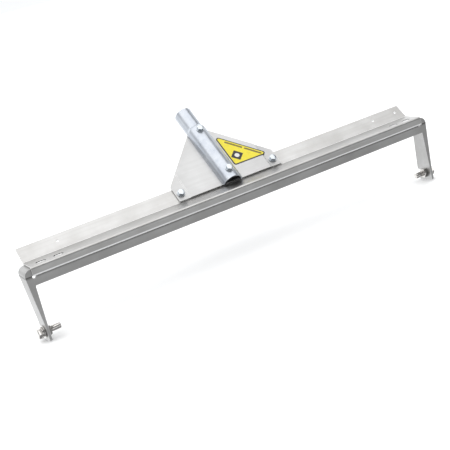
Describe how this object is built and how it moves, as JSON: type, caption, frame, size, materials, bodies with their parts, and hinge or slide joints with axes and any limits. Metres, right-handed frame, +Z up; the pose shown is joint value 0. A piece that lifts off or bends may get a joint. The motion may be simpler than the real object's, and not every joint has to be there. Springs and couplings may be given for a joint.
{
  "type": "concrete roller frame",
  "caption": "Bent aluminium yoke frame for a concrete roller, with a folded top plate, a bolted bracket, a steel handle socket and stub axle bolts in open slots.",
  "frame": {"origin": "on the ground plane under the centre of the whole frame's box, level with the arm tips", "axes": "+X along the frame, to the right as seen from its front; +Y from the front lip towards the user, the way the handle leans; +Z up"},
  "size_m": [0.9716, 0.2163, 0.3066],
  "materials": {
    "plate_aluminium": "mill finish sheet, faint rolling lines along its length, soft scuffs",
    "yoke_aluminium": "darker extruded bar, drawn lines along the bar",
    "weld_aluminium": "bright weld metal, rippled",
    "socket_steel": "zinc plated steel, slightly blue, smooth",
    "zinc_fasteners": "bright zinc plated hexagon bolts, nuts and washers",
    "axle_steel": "bright plated stub axle bolts, nuts and washers",
    "label_vinyl": "yellow vinyl sticker with a thin black border and a plain black square"
  },
  "bodies": {
    "frame": {"top_plate": "plate_aluminium", "yoke_frame": "yoke_aluminium", "left_inner_weld": "weld_aluminium", "left_outer_weld": "weld_aluminium", "right_inner_weld": "weld_aluminium", "right_outer_weld": "weld_aluminium", "bracket_plate": "plate_aluminium", "handle_socket": "socket_steel", "label": "label_vinyl", "left_bracket_bolt": "zinc_fasteners", "left_bracket_washer": "zinc_fasteners", "left_bracket_lock_washer": "zinc_fasteners", "left_bracket_nut": "zinc_fasteners", "right_bracket_bolt": "zinc_fasteners", "right_bracket_washer": "zinc_fasteners", "right_bracket_lock_washer": "zinc_fasteners", "right_bracket_nut": "zinc_fasteners", "lower_socket_bolt": "zinc_fasteners", "lower_socket_washer": "zinc_fasteners", "lower_socket_lock_washer": "zinc_fasteners", "lower_socket_nut": "zinc_fasteners", "upper_socket_bolt": "zinc_fasteners", "upper_socket_washer": "zinc_fasteners", "upper_socket_lock_washer": "zinc_fasteners", "upper_socket_nut": "zinc_fasteners"},
    "left_axle": {"left_axle_bolt": "axle_steel", "left_axle_lock_washer": "axle_steel", "left_axle_washer": "axle_steel", "left_axle_nut": "axle_steel"},
    "right_axle": {"right_axle_bolt": "axle_steel", "right_axle_lock_washer": "axle_steel", "right_axle_washer": "axle_steel", "right_axle_nut": "axle_steel"}
  },
  "joints": [
    {"name": "left_axle_slide", "type": "slide", "parent": "frame", "child": "left_axle", "axis": [0, 1, 0], "range_m": [0, 0.016]},
    {"name": "right_axle_slide", "type": "slide", "parent": "frame", "child": "right_axle", "axis": [0, 1, 0], "range_m": [0, 0.016]}
  ]
}
